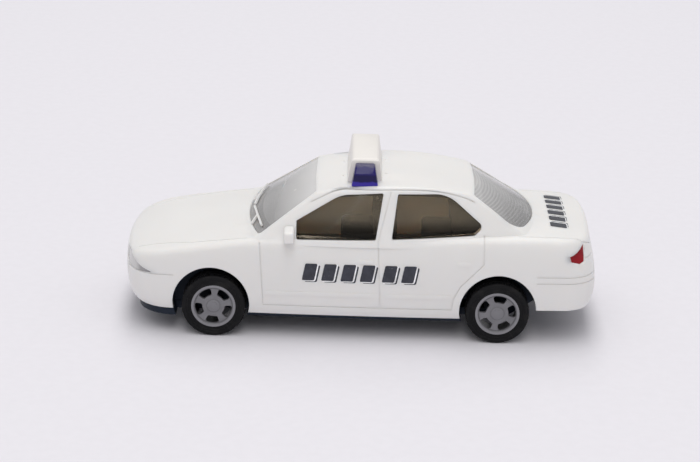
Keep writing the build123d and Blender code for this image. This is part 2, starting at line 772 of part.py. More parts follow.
def steering_wheel():
    """Wheel on its column, seated on the rear face of the dashboard."""
    face_x = cowl_x - dash_set - dash_length
    height = dash_share * belt_height - steering_radius
    y = seat_place_share * half_width
    tilt = steering_tilt
    ring = Torus(steering_radius, steering_rim)
    spoke = Box(2 * steering_radius, 2 * steering_rim, steering_rim)
    column = Pos(0, 0, steering_gap / 2) * Cylinder(steering_column, steering_gap)
    wheel = ring + spoke + column
    run = steering_gap * sin(radians(tilt))
    wheel = Pos(face_x - run, y, height) * Rot(0, tilt, 0) * wheel
    return wheel - Pos(face_x + steering_radius, y, height) * Box(2 * steering_radius, width, width)


def bar_section(grow, top):
    """Section of the light bar along the car."""
    low = roof_height - bar_foot
    wide = bar_width / 2 + grow
    slant = bar_edge
    return make_face(Polyline((bar_place - wide, low), (bar_place + wide, low),
                              (bar_place + wide - slant, top), (bar_place - wide + slant, top),
                              close=True))


def light_bar():
    """White cover and the two beacons beside it."""
    seat = roof(0)
    top = roof_height + bar_height
    cover = extrude(Plane.XZ.offset(-bar_middle / 2) * bar_section(bar_cover_step, top),
                    amount=bar_middle)
    cover = fillet(cover.edges().group_by(Axis.Z)[-1], bar_edge)
    cover = cover - seat
    end = (bar_length - bar_middle) / 2
    beacon = extrude(Plane.XZ.offset(-bar_length / 2) * bar_section(0, top - bar_cover_step), amount=end)
    outer = beacon.faces().sort_by(Axis.Y)[-1]
    upper = outer.edges().sort_by(Axis.Z)[-1]
    beacon = chamfer(upper, beacon_slope_height, beacon_slope_length, reference=outer)
    inner = beacon.faces().sort_by(Axis.Y)[0]
    foot = beacon.faces().sort_by(Axis.Z)[0]
    kept = inner.edges() + foot.edges()
    beacon = fillet([edge for edge in beacon.edges() if edge not in kept], beacon_edge)
    beacon = beacon - seat
    return cover, beacon, mirror(beacon, Plane.XZ)


def door_mirror():
    """Left door mirror, seated on the door below the window."""
    x, z = foot_point(mirror_place_share, belt_height + mirror_height / 2 - mirror_sink)
    y = half_width * cabin_foot_middle_share
    stub = Pos(x, y, z) * Box(mirror_length, 2 * mirror_reach, mirror_height)
    stub = fillet(stub.edges(), mirror_round)
    return stub - tub(0, deck_edge) - cabin(0, cabin_edge)


def wiper(side):
    """Blade and arm lying on the foot of the windscreen."""
    y = side * wiper_spread_share * half_width / 2
    slope = windscreen_run / cos(screen_angle)
    plane = Plane(
        origin=(cowl_x - windscreen_run / 2, 0, belt_height + screen_rise / 2),
        x_dir=(0, 1, 0), z_dir=(sin(screen_angle), 0, cos(screen_angle)))
    middle = Pos(y, wiper_set - slope / 2)
    shape = middle * Rot(0, 0, side * wiper_tilt) * Rectangle(wiper_blade, wiper_thickness)
    arm = middle * Rot(0, 0, -wiper_arm_tilt) * Pos(wiper_arm / 2, 0) * Rectangle(
        wiper_arm, wiper_thickness)
    strip = extrude(plane.offset(-overrun) * (shape + arm), amount=overrun + 2 * wiper_thickness)
    skin = cabin(-wiper_thickness) - cabin(0)
    return strip & skin - tub(0, deck_edge)


def grille():
    """Dark insert with level bars behind the opening in the nose."""
    shape = opening_box(grille_shares, grille_depth + half_width * nose_bow_share)
    plate = shape & tub(grille_depth / 2) - tub(grille_depth)
    wide, low, high = grille_shares
    pitch = (high - low) * belt_height / (grille_bars + 1)
    gaps = []
    for index in range(grille_bars + 1):
        height = low * belt_height + pitch * (index + 1 / 2)
        gaps.append(Pos(nose_x, 0, height) * Box(
            2 * half_width, 2 * (wide * half_width - grille_depth), pitch * grille_bar_share))
    front = shape - tub(grille_depth / 2 + groove_depth)
    return plate - [gap & front for gap in gaps]


def tyre():
    """Tyre about its own centre, its axis along Y."""
    half = tyre_width / 2
    outline = Polyline((rim_radius, -half), (wheel_radius, -half), (wheel_radius, half),
                       (rim_radius, half), close=True)
    shape = make_face(outline)
    shape = fillet(shape.vertices().sort_by(Axis.X)[-2:], tyre_shoulder)
    return revolve(shape, Axis.Y)


def rim_slot(middle):
    """One opening between two spokes, in the plane of the rim's face."""
    inner = hub_radius + hub_slot_gap
    outer = rim_radius - rim_lip - rim_slot_gap
    half = rim_slot_angle / 2

    def point(radius, angle):
        return radius * cos(radians(angle)), radius * sin(radians(angle))

    shape = make_face([
        ThreePointArc(point(inner, middle - half), point(inner, middle), point(inner, middle + half)),
        Line(point(inner, middle + half), point(outer, middle + half)),
        ThreePointArc(point(outer, middle + half), point(outer, middle), point(outer, middle - half)),
        Line(point(outer, middle - half), point(inner, middle - half)),
    ])
    return fillet(shape.vertices(), rim_slot_edge)


def rim(turn):
    """Rim about its own centre, its face towards +Y and its first slot at a turn from +X."""
    half = tyre_width / 2
    face_y = half - rim_face_depth
    back_y = face_y - rim_face
    outline = Polyline((0, back_y), (0, face_y), (rim_radius - rim_lip, face_y),
                       (rim_radius - rim_lip, half), (rim_radius, half), (rim_radius, -half),
                       (rim_radius - rim_lip, -half), (rim_radius - rim_lip, back_y), close=True)
    shape = revolve(make_face(outline), Axis.Y)
    hub_long = back_y + half
    shape += Pos(0, back_y - hub_long / 2, 0) * Rot(90, 0, 0) * Cylinder(hub_radius, hub_long)
    shape += Pos(0, face_y, 0) * Rot(90, 0, 0) * Cylinder(cap_radius, 2 * cap_rise)
    face = Plane(origin=(0, -half, 0), x_dir=(1, 0, 0), z_dir=(0, -1, 0))
    slots = [extrude(face * rim_slot(turn + 360 / rim_spokes * index), amount=-2 * half)
             for index in range(rim_spokes)]
    shape -= slots
    shape -= Pos(0, -half + hub_long / 2, 0) * Rot(90, 0, 0) * Cylinder(axle_radius, hub_long)
    return shape


def axle():
    """Pin from one rim to the other."""
    long = 2 * (wheel_face_y - rim_face_depth - rim_face)
    return Rot(90, 0, 0) * Cylinder(axle_radius, long)


def save(shape, name):
    """Write one piece as a STEP file."""
    solids = shape.solids()
    export_step(solids[0] if len(solids) == 1 else Compound(children=solids), f"parts/{name}.step")


def main():
    os.makedirs("parts", exist_ok=True)
    save(body_shell(), "body_shell")
    save(glazing(), "glazing")
    save(chassis(), "chassis")
    save(interior(), "interior")
    save(steering_wheel(), "steering_wheel")
    save(grille(), "grille")
    cover, beacon_left, beacon_right = light_bar()
    save(cover, "bar_cover")
    save(beacon_left, "beacon_left")
    save(beacon_right, "beacon_right")
    lamp = headlamp_prism(fit_gap) & tub(glass_recess) - tub(lamp_depth)
    tail_lamp = tail_lamp_prism(fit_gap) & tub(glass_recess) - tub(lamp_depth)
    for name, piece in (("headlamp", lamp), ("tail_lamp", tail_lamp), ("mirror", door_mirror())):
        save(piece, name + "_left")
        save(mirror(piece, Plane.XZ), name + "_right")
    save(wiper(1), "wiper_left")
    save(wiper(-1), "wiper_right")
    wheel_y = wheel_face_y - tyre_width / 2
    for end, axle_x, rim_turn in (("front", front_axle_x, rim_turn_front),
                                  ("rear", rear_axle_x, rim_turn_rear)):
        save(Pos(axle_x, 0, wheel_radius) * axle(), end + "_axle")
        for side, turn in (("left", 0), ("right", 180)):
            place = Pos(axle_x, wheel_y if side == "left" else -wheel_y, wheel_radius) * Rot(0, 0, turn)
            save(place * tyre(), f"tyre_{end}_{side}")
            save(place * rim(rim_turn), f"rim_{end}_{side}")


main()
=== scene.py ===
"""Model police saloon at 1:87: its finishes, fine pieces and printed markings."""
import math

import bpy
import numpy as np
from mathutils import Matrix, Vector
from mathutils.kdtree import KDTree


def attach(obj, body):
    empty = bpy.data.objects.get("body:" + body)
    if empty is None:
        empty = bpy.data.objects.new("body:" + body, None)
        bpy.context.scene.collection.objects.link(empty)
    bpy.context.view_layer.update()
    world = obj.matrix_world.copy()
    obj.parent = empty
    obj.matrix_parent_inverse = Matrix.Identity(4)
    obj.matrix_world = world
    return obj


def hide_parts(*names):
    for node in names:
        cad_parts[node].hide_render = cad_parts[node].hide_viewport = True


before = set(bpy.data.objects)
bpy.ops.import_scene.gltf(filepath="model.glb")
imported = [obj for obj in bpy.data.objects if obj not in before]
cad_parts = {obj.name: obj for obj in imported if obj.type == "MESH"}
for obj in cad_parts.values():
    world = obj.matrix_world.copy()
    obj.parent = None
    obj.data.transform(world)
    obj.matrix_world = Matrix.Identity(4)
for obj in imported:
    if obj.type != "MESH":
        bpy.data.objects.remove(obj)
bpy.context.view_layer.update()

bl_info = {
    "name": "Model police saloon",
    "version": (1, 0, 0),
    "blender": (4, 5, 0),
    "location": "View3D > Sidebar > Model Saloon",
    "description": "Finishes and fine pieces of a small plastic police saloon",
    "category": "Object",
}

MM = 0.001

# Constants are in millimetres and degrees. X points forwards, Y to the car's left and Z upwards,
# with the ground at 0.

# Camera of the photograph
CAMERA_PLACE = (1.43, 229.34, 92.56)
CAMERA_YAW = -0.04
CAMERA_DIP = 19.98
CAMERA_ROLL = 1.612
CAMERA_LENS = 111.3
CAMERA_NEAR = 5.0
SENSOR_WIDTH = 36.0

# Stage: side of the floor, and tints of the light tent and the lamp
FLOOR_SIZE = 4000.0
TENT_TINT = (0.985, 0.985, 1.0, 1.0)
LAMP_TINT = (1.0, 0.985, 0.96)

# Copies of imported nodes: distance within which points are merged, and the widest turn between
# faces that is still shaded smooth
MERGE_DISTANCE = 0.0005
PIECE_CREASE = 30
WHEEL_CREASE = 35
INK_CREASE = 40

# Evened normals: how far off a face still counts, the widest angle between directions that are
# taken as one surface, the spacing of the samples and the seed that scatters them
NORMAL_REACH = 0.6
NORMAL_ANGLE = 28
NORMAL_SPACING = 0.3
NORMAL_SEED = 7

# Axles in side view: along the car and above the ground
FRONT_AXLE = (16.0, 3.5)
REAR_AXLE = (-15.1, 3.5)

# Rims: direction of each one's first slot, from forwards towards upwards, the angle from slot to
# slot, the ring that they lie in and its middle, and the angles of flat faces and of true edges
SLOT_TURNS = {"front_left": 58, "front_right": 122, "rear_left": 26, "rear_right": 154}
SLOT_PITCH = 72
SLOT_RING = (1.2, 2.1)
SLOT_MIDDLE = 1.9
FLAT_ANGLE = 0.5
EDGE_ANGLE = 50
EDGE_STEPS = 2

# Tyres: distance of the middle from the car's centre line, steps of the full turn, steps from one
# cross groove to the next, the part across and the radius where these grooves are cut, and the
# outline of one half as (distance from the axle, place across)
TYRE_MIDDLE = 8.5
TYRE_STEPS = 144
GROOVE_STEPS = 4
GROOVE_ACROSS = (0.42, 1.06)
GROOVE_RADIUS = 3.40
TYRE_HALF = (
    (3.50, 0.26), (3.39, 0.30), (3.39, 0.38), (3.50, 0.42), (3.50, 0.70), (3.495, 0.96),
    (3.465, 1.06), (3.40, 1.135), (3.29, 1.18), (3.14, 1.195), (3.04, 1.19), (3.00, 1.155),
    (2.90, 1.15), (2.86, 1.185), (2.78, 1.185), (2.74, 1.145), (2.58, 1.14), (2.53, 1.18),
    (2.42, 1.18),
)

# Printed blocks: how far they lean, the rounding of their corners and its steps, the spacing of
# the grid they are cut into, and the distance from which they are pressed onto the body
BLOCK_LEAN = 0.36
BLOCK_CORNER = 0.16
BLOCK_CORNER_STEPS = 5
BLOCK_CELL = 0.2
PRINT_START = 16.0
# Layers of a block from the body outwards: name, ink, growth on all sides, shift right and up
BLOCK_LAYERS = (
    ("shadow", "navy", 0, (0.3, -0.18)),
    ("edge", "white", 0.04, (0.1, -0.06)),
    ("block", "navy", 0, (0, 0)),
)
# Blocks on the doors: front ends, on both sides of the gap between the doors, size and foot
DOOR_BLOCKS = (6.20, 4.10, 2.00, -0.10, -2.50, -4.60)
DOOR_BLOCK_SIZE = (1.34, 1.9)
DOOR_BLOCK_FOOT = 6.98
# Blocks on the boot lid: left ends across the car, size and rear ends
BOOT_BLOCKS = (4.90, 3.02, 1.14, -0.74, -2.62, -4.50)
BOOT_BLOCK_SIZE = (1.20, 1.80)
BOOT_BLOCK_REAR = -22.62

# Ranges that noise is spread over, and the ends of a fade that falls
NARROW = (0.35, 0.65)
UPPER = (0.35, 0.7)
WIDE = (0.3, 0.7)
FALL = (1.0, 0.0)

# Mouldings: skin of each, the share by which mottling varies the roughness, depth and tint of the
# light that spreads inside the plastic, and the tones of dust and of pale specks
SHELL_SKIN = {"roughness": 0.37, "grain_size": 0.7, "grain_depth": 0.0008, "mottle": 0.012,
              "dust": 0.006}
CHASSIS_SKIN = {"roughness": 0.5, "grain_size": 0.3, "grain_depth": 0.006, "mottle": 0.2,
                "shine": 0.2}
GRILLE_SKIN = {"roughness": 0.35, "grain_size": 0.2, "grain_depth": 0.004, "mottle": 0.2}
INSIDE_SKIN = {"roughness": 0.5, "grain_size": 0.25, "grain_depth": 0.008, "mottle": 0.25,
               "shine": 0.2}
PIN_SKIN = {"roughness": 0.3, "grain_size": 0.15, "grain_depth": 0.002, "mottle": 0.2}
ROUGHNESS_VARIES = 0.1
SOFT_DEPTH = 0.7
SOFT_TINT = (1.0, 0.9, 0.8)
DUST_TONE = (0.32, 0.30, 0.28)
SPECK_TONE = (0.9, 0.88, 0.82)
SPECK_EDGE = (0.08, 0.13)

# Side windows: heights where the painted shade along the lower edge ends and its rise towards the
# rear, heights between which they become hazier, how clear they are there, their index of
# refraction, and the turn in radians and the scale that draw their scuffs out
PAINTED_SILL_SHADE_HEIGHTS = (11.72, 11.80)
PAINTED_SILL_SHADE_RISE = 0.033
PANE_HEIGHTS = (12.3, 13.8)
PANE_CLEAR = (0.995, 0.905)
PANE_INDEX = 1.22
SCUFF_TURN = (0, 0.3, 0)
SCUFF_SCALE = (2.6, 1.0, 0.6)

# Screens: how far a face of the clear moulding looks forwards or backwards when it belongs to
# one, places along the car where the rear window ends, where its paler upper band starts and
# between which each screen changes, how clear it is there, and their index of refraction.
# Each screen is less clear and so paler towards the roof: this is painted reflection
SCREEN_SLANT = 0.35
REAR_ENDS = (-10.0, -9.0)
REAR_BAND = (-13.3, -13.0)
REAR_PLACES = (-18.0, -12.5)
REAR_CLEAR = (0.84, 0.58)
FRONT_PLACES = (9.8, 5.6)
FRONT_CLEAR = (0.70, 0.18)
SCREEN_INDEX = 1.58
# Heating lines: bow in metres for each square metre across, half width as a share of their
# spacing, and tone
HEATING_BOW = 38.0
HEATING_WIDTH = (0.10, 0.30)
HEATING_TONE = (0.9, 0.9, 0.9)

# Lamps and beacons: index of refraction, where the headlamps turn pale along the car, and the
# beacons' heights with the share of their colour from there on, which is painted shade that
# leaves a painted glow at the foot, and their pale top, which is a painted highlight
LENS_INDEX = 1.49
HEADLAMP_FRONT = (23.8, 24.8)
BEACON_PAINTED_SHADES = (((17.05, 17.25), 0.2), ((17.85, 18.05), 0.36))
BEACON_TOP = (18.62, 18.78)
BEACON_PAINTED_HIGHLIGHT = (0.095, 0.085, 0.19)

# Rims, by distance from the axle: start of the flange, end of the hub, the pressed ring and the
# edge of the hub cap with the half widths of these lines, which carry painted shade, and the
# barrel by distance across, which is darkened as painted shade
RIM_FLANGE = (2.08, 2.18)
RIM_HUB = (0.66, 0.72)
RIM_RING = 2.06
RIM_RING_WIDTH = (0.03, 0.10)
RIM_CAP = 0.74
RIM_CAP_WIDTH = (0.02, 0.08)
RIM_SHADED_BARREL = (9.1, 9.3)

# Tyres: tones of dust and of the faint marks
TYRE_DUST = (0.025, 0.024, 0.023)
TYRE_MARK = (0.06, 0.06, 0.062)

# Ink: tone of the plastic in its pinholes
PINHOLE_TONE = (0.5, 0.5, 0.5)


class FinishSettings(bpy.types.PropertyGroup):
    """Colours of the mouldings, the ink and the pins."""
    body: bpy.props.FloatVectorProperty(
        name="Body", description="White plastic of the body", subtype="COLOR",
        default=(0.81, 0.797, 0.783), min=0, max=1)
    cover: bpy.props.FloatVectorProperty(
        name="Cover", description="Cream white plastic between the beacons", subtype="COLOR",
        default=(0.83, 0.80, 0.765), min=0, max=1)
    chassis: bpy.props.FloatVectorProperty(
        name="Chassis", description="Dark blue plastic of the floor pan", subtype="COLOR",
        default=(0.012, 0.019, 0.034), min=0, max=1)
    inside: bpy.props.FloatVectorProperty(
        name="Inside", description="Dark plastic of the seats", subtype="COLOR",
        default=(0.009, 0.009, 0.010), min=0, max=1)
    rim: bpy.props.FloatVectorProperty(
        name="Rims", description="Silver-grey plastic of the rims", subtype="COLOR",
        default=(0.188, 0.185, 0.20), min=0, max=1)
    tyre: bpy.props.FloatVectorProperty(
        name="Tyres", description="Black plastic of the tyres", subtype="COLOR",
        default=(0.007, 0.007, 0.008), min=0, max=1)
    pin: bpy.props.FloatVectorProperty(
        name="Axle pins", description="Steel of the axle pins", subtype="COLOR",
        default=(0.42, 0.42, 0.43), min=0, max=1)
    beacon: bpy.props.FloatVectorProperty(
        name="Beacons", description="Blue clear plastic of the beacons", subtype="COLOR",
        default=(0.05, 0.032, 0.42), min=0, max=1)
    lens: bpy.props.FloatVectorProperty(
        name="Tail lamps", description="Red clear plastic of the tail lamps", subtype="COLOR",
        default=(0.38, 0.008, 0.018), min=0, max=1)
    headlamp: bpy.props.FloatVectorProperty(
        name="Headlamp sides", description="Headlamps where they wrap round the corners",
        subtype="COLOR", default=(0.40, 0.39, 0.40), min=0, max=1)
    headlamp_front: bpy.props.FloatVectorProperty(
        name="Headlamp fronts", description="Headlamps across the front", subtype="COLOR",
        default=(0.70, 0.69, 0.685), min=0, max=1)
    side_glass: bpy.props.FloatVectorProperty(
        name="Side windows", description="Smoked clear plastic seen through the side windows",
        subtype="COLOR", default=(0.77, 0.67, 0.52), min=0, max=1)
    screen_glass: bpy.props.FloatVectorProperty(
        name="Screens", description="Clear plastic of the windscreen and rear window",
        subtype="COLOR", default=(0.80, 0.79, 0.79), min=0, max=1)
    marking: bpy.props.FloatVectorProperty(
        name="Markings", description="Navy ink of the printed blocks", subtype="COLOR",
        default=(0.019, 0.021, 0.032), min=0, max=1)
    white_ink: bpy.props.FloatVectorProperty(
        name="White ink", description="White ink between a block and its shadow",
        subtype="COLOR", default=(0.72, 0.72, 0.73), min=0, max=1)


class DetailSettings(bpy.types.PropertyGroup):
    """Sizes of the fine work."""
    body_soft: bpy.props.FloatProperty(
        name="Soft light", description="Share of the light that spreads inside the body",
        default=0.6, min=0, max=1, subtype="FACTOR")
    heating_pitch: bpy.props.FloatProperty(
        name="Heating lines", description="Spacing of the lines in the rear window",
        default=0.34 * MM, min=0.05 * MM, precision=6, unit="LENGTH")
    slot_width: bpy.props.FloatProperty(
        name="Slot width", description="How far the rims' slots are widened round the axle",
        default=1.24, min=1, max=1.4)
    slot_depth: bpy.props.FloatProperty(
        name="Slot depth", description="How far the rims' slots are drawn out from the axle",
        default=1.08, min=1, max=1.2)
    rim_edge: bpy.props.FloatProperty(
        name="Rim edges", description="Rounding of the rims' edges",
        default=0.045 * MM, min=0, precision=6, unit="LENGTH")
    tread_depth: bpy.props.FloatProperty(
        name="Tread", description="Depth of the cross grooves in the tyres' shoulders",
        default=0.09 * MM, min=0, precision=6, unit="LENGTH")
    ink: bpy.props.FloatProperty(
        name="Ink", description="Thickness of one layer of printed ink",
        default=0.01 * MM, min=0, precision=6, unit="LENGTH")


class StageSettings(bpy.types.PropertyGroup):
    """Light and background."""
    paper: bpy.props.FloatVectorProperty(
        name="Paper", description="Colour of the floor", subtype="COLOR",
        default=(0.80, 0.785, 0.83), min=0, max=1)
    tent: bpy.props.FloatProperty(
        name="Light tent", description="Strength of the even light from all round",
        default=0.58, min=0)
    lamp: bpy.props.FloatProperty(
        name="Lamp", description="Power of the lamp over the car", default=2.5, min=0,
        subtype="POWER")
    lamp_size: bpy.props.FloatVectorProperty(
        name="Lamp size", description="Length of the lamp along the car and across it", size=2,
        default=(0.18, 1.4), min=0.01, unit="LENGTH")
    lamp_place: bpy.props.FloatVectorProperty(
        name="Lamp place", description="Middle of the lamp over the car",
        subtype="TRANSLATION", default=(0.0, 0.03, 0.52), unit="LENGTH")


# Meshes

def metres(sizes):
    """Sizes in millimetres as metres."""
    return tuple(size * MM for size in sizes)


def show_only(piece):
    """Select one object and make it active."""
    bpy.ops.object.select_all(action="DESELECT")
    piece.select_set(True)
    bpy.context.view_layer.objects.active = piece


def even_normals(piece):
    """Give each corner the mean direction of the faces near it that face about the same way."""
    mesh = piece.data
    faces = len(mesh.polygons)
    normals = np.empty(faces * 3)
    mesh.polygons.foreach_get("normal", normals)
    normals = normals.reshape(-1, 3)
    areas = np.empty(faces)
    mesh.polygons.foreach_get("area", areas)
    corners = np.empty(len(mesh.loops), dtype=int)
    mesh.loops.foreach_get("vertex_index", corners)
    points = np.empty(len(mesh.vertices) * 3)
    mesh.vertices.foreach_get("co", points)
    points = points.reshape(-1, 3) / MM
    areas = areas / MM ** 2
    # Scatter samples over each triangle, more on large and long ones
    triangles = corners.reshape(-1, 3)
    a, b, c = (points[triangles[:, index]] for index in range(3))
    longest = np.max([np.linalg.norm(a - b, axis=1), np.linalg.norm(b - c, axis=1),
                      np.linalg.norm(c - a, axis=1)], axis=0)
    counts = np.maximum(np.ceil(areas / NORMAL_SPACING ** 2),
                        np.ceil(longest / NORMAL_SPACING)).astype(int)
    owners = np.repeat(np.arange(faces), counts)
    chance = np.random.default_rng(NORMAL_SEED)
    u, v = chance.random(len(owners)), chance.random(len(owners))
    over = u + v > 1
    u[over], v[over] = 1 - u[over], 1 - v[over]
    spots = (a[owners] * (1 - u - v)[:, None] + b[owners] * u[:, None]
             + c[owners] * v[:, None])
    weights = (areas / counts)[owners]
    tree = KDTree(len(spots))
    for index, spot in enumerate(spots):
        tree.insert(spot, index)
    tree.balance()
    # Average the samples near each point, for each of the faces that meet there
    limit = math.cos(math.radians(NORMAL_ANGLE))
    result = normals[np.repeat(np.arange(faces), 3)]
    order = np.argsort(corners, kind="stable")
    starts = np.searchsorted(corners[order], np.arange(len(points) + 1))
    for vertex in range(len(points)):
        loops = order[starts[vertex]:starts[vertex + 1]]
        if len(loops) == 0:
            continue
        found = tree.find_range(points[vertex], NORMAL_REACH)
        if not found:
            continue
        indices = np.array([item[1] for item in found])
        distances = np.array([item[2] for item in found])
        near = normals[owners[indices]]
        share = weights[indices] * np.exp(-(2 * distances / NORMAL_REACH) ** 2)
        own = normals[loops // 3]
        total = ((own @ near.T > limit) * share) @ near
        size = np.linalg.norm(total, axis=1)
        good = size > 1e-12
        result[loops[good]] = total[good] / size[good, None]
    mesh.normals_split_custom_set(result.tolist())


def node_copy(node, name, body, even=True):
    """A merged, smooth-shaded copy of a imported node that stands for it."""
    show_only(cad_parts[node])
    bpy.ops.object.duplicate()
    piece = bpy.context.object
    piece.name = name
    piece.parent = None
    for key in list(piece.keys()):
        if key.startswith("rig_"):
            del piece[key]
    bpy.ops.object.mode_set(mode="EDIT")
    bpy.ops.mesh.select_all(action="SELECT")
    bpy.ops.mesh.remove_doubles(threshold=MERGE_DISTANCE * MM)
    bpy.ops.object.mode_set(mode="OBJECT")
    if even:
        bpy.ops.object.shade_smooth()
        even_normals(piece)
    else:
        bpy.ops.object.shade_smooth_by_angle(angle=math.radians(PIECE_CREASE))
    piece.data.materials.clear()
    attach(piece, body)
    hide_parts(node)
    return piece


def pick(piece, domain, test):
    """Select the vertices or faces that a test accepts, and stay in edit mode."""
    bpy.ops.object.mode_set(mode="EDIT")
    bpy.ops.mesh.select_mode(type=domain)
    bpy.ops.mesh.select_all(action="DESELECT")
    bpy.ops.object.mode_set(mode="OBJECT")
    for item in (piece.data.vertices if domain == "VERT" else piece.data.polygons):
        item.select = test(item)
    bpy.ops.object.mode_set(mode="EDIT")


def dress(piece, material):
    """Give a piece its material."""
    piece.data.materials.clear()
    piece.data.materials.append(material)


# Shader nodes

def add(tree, kind, inputs=None, **settings):
    """Add a shader node; inputs may be values or sockets to link."""
    item = tree.nodes.new(kind)
    for key, value in settings.items():
        setattr(item, key, value)
    for key, value in (inputs or {}).items():
        if isinstance(value, bpy.types.NodeSocket):
            tree.links.new(value, item.inputs[key])
        else:
            item.inputs[key].default_value = value
    return item


def maths(tree, operation, first, second=0.0, clamp=False):
    """Result of one arithmetic node."""
    item = add(tree, "ShaderNodeMath", {0: first, 1: second}, operation=operation,
               use_clamp=clamp)
    return item.outputs[0]


def times(tree, first, second):
    """Product of two values."""
    return maths(tree, "MULTIPLY", first, second)


def less(tree, value, mask, share, clamp=False):
    """A value, less a share of a mask."""
    return maths(tree, "SUBTRACT", value, times(tree, mask, share), clamp)


def away_from(tree, value, middle):
    """How far a value is from a middle."""
    return maths(tree, "ABSOLUTE", maths(tree, "SUBTRACT", value, middle))


def axis_of(tree, place, axis):
    """One of the three parts of a place."""
    return add(tree, "ShaderNodeSeparateXYZ", {"Vector": place}).outputs[axis]


def spread(tree, value, limits, ends=(0.0, 1.0), smooth=True):
    """Map a value from one range to another, clamped at both ends."""
    item = add(tree, "ShaderNodeMapRange",
               {"Value": value, "From Min": limits[0], "From Max": limits[1],
                "To Min": ends[0], "To Max": ends[1]},
               interpolation_type="SMOOTHSTEP" if smooth else "LINEAR", clamp=True)
    return item.outputs["Result"]


def blend(tree, share, first, second):
    """Mix two colours."""
    item = add(tree, "ShaderNodeMix", {0: share}, data_type="RGBA")
    for index, value in ((6, first), (7, second)):
        if isinstance(value, bpy.types.NodeSocket):
            tree.links.new(value, item.inputs[index])
        else:
            item.inputs[index].default_value = (*value, 1)
    return item.outputs[2]


def tint(tree, mask, under, over, share):
    """Lay a share of one colour over another where a mask is."""
    return blend(tree, times(tree, mask, share), under, over)


def noise(tree, place, size, detail=2.0, roughness=0.5):
    """Noise whose features are about as large as a size in millimetres."""
    item = add(tree, "ShaderNodeTexNoise",
               {"Vector": place, "Scale": 1 / (size * MM), "Detail": detail,
                "Roughness": roughness})
    return item.outputs["Fac"]


def specks(tree, place, size, amount):
    """Sparse round specks: 1 on a speck and 0 elsewhere."""
    item = add(tree, "ShaderNodeTexVoronoi",
               {"Vector": place, "Scale": 1 / (size * MM), "Randomness": 1.0}, feature="F1")
    near = spread(tree, item.outputs["Distance"], SPECK_EDGE, FALL)
    picked = add(tree, "ShaderNodeSeparateColor", {"Color": item.outputs["Color"]}).outputs[0]
    return times(tree, near, spread(tree, picked, (1 - amount, 1 - amount + 0.01)))


def from_axle(tree, place, axle):
    """Places counted from an axle: a vector in side view, and the place across the car."""
    moved = add(tree, "ShaderNodeMapping",
                {"Vector": place, "Location": (-axle[0] * MM, 0, -axle[1] * MM)})
    spot = add(tree, "ShaderNodeSeparateXYZ", {"Vector": moved.outputs["Vector"]}).outputs
    flat = add(tree, "ShaderNodeCombineXYZ", {"X": spot["X"], "Z": spot["Z"]})
    return flat.outputs["Vector"], spot["Y"]


def shade(colour, share):
    """A colour made darker or paler by a share."""
    return tuple(part * share for part in colour)


# Materials

def new_material(name):
    """Material with its node tree, Principled shader and object coordinates."""
    material = bpy.data.materials.new(name)
    material.use_nodes = True
    tree = material.node_tree
    place = add(tree, "ShaderNodeTexCoord").outputs["Object"]
    return material, tree, tree.nodes["Principled BSDF"], place


def set_bump(tree, shader, height, depth):
    """Let a height of 1 raise the surface by a depth in millimetres."""
    item = add(tree, "ShaderNodeBump",
               {"Height": height, "Distance": depth * MM, "Strength": 1.0})
    tree.links.new(item.outputs["Normal"], shader.inputs["Normal"])


def set_roughness(tree, shader, skin, ends):
    """Let fine noise vary the roughness between two ends."""
    rough = spread(tree, skin, WIDE, ends, smooth=False)
    tree.links.new(rough, shader.inputs["Roughness"])


def moulded(name, colour, roughness, grain_size, grain_depth, mottle, dust=0.0, soft=0.0,
            shine=0.5):
    """Moulded plastic: fine skin, slight mottling, a little dust, light that spreads inside."""
    material, tree, shader, place = new_material(name)
    cloud = noise(tree, place, size=6.0, detail=3.0)
    tone = blend(tree, spread(tree, cloud, NARROW), shade(colour, 1 - mottle), colour)
    if dust > 0:
        grains = specks(tree, place, size=1.3, amount=dust)
        tone = tint(tree, grains, tone, DUST_TONE, share=0.25)
    tree.links.new(tone, shader.inputs["Base Color"])
    ends = (roughness * (1 - ROUGHNESS_VARIES), roughness * (1 + ROUGHNESS_VARIES))
    tree.links.new(spread(tree, cloud, NARROW, ends), shader.inputs["Roughness"])
    grain = noise(tree, place, grain_size, detail=3.0, roughness=0.6)
    set_bump(tree, shader, grain, grain_depth)
    shader.inputs["Specular IOR Level"].default_value = shine
    shader.inputs["Subsurface Weight"].default_value = soft
    shader.inputs["Subsurface Scale"].default_value = SOFT_DEPTH * MM
    shader.inputs["Subsurface Radius"].default_value = SOFT_TINT
    return material


def side_plastic(name, colour):
    """Smoked clear plastic of the side windows, hazier upwards, with a few pale specks."""
    material, tree, shader, place = new_material(name)
    cloud = noise(tree, place, size=3.5, detail=3.0)
    tone = blend(tree, spread(tree, cloud, UPPER), colour, shade(colour, 0.94))
    # Scuffs are specks drawn out upwards
    drawn = add(tree, "ShaderNodeMapping",
                {"Vector": place, "Rotation": SCUFF_TURN, "Scale": SCUFF_SCALE})
    dots = maths(tree, "MAXIMUM", specks(tree, place, size=1.6, amount=0.08),
                 specks(tree, drawn.outputs["Vector"], size=1.5, amount=0.10))
    tone = tint(tree, dots, tone, SPECK_TONE, share=0.5)
    # Painted shade darkens the lower edge, and this dark band rises a little towards the rear
    height = axis_of(tree, place, "Z")
    sill = maths(tree, "ADD", height, times(tree, axis_of(tree, place, "X"), PAINTED_SILL_SHADE_RISE))
    edge = spread(tree, sill, metres(PAINTED_SILL_SHADE_HEIGHTS), FALL)
    tone = blend(tree, edge, tone, shade(colour, 0.05))
    tree.links.new(tone, shader.inputs["Base Color"])
    clear = spread(tree, height, metres(PANE_HEIGHTS), PANE_CLEAR)
    clear = less(tree, clear, dots, share=0.25)
    tree.links.new(clear, shader.inputs["Transmission Weight"])
    skin = noise(tree, place, size=0.8)
    set_roughness(tree, shader, skin, (0.02, 0.05))
    shader.inputs["IOR"].default_value = PANE_INDEX
    set_bump(tree, shader, skin, depth=0.002)
    return material


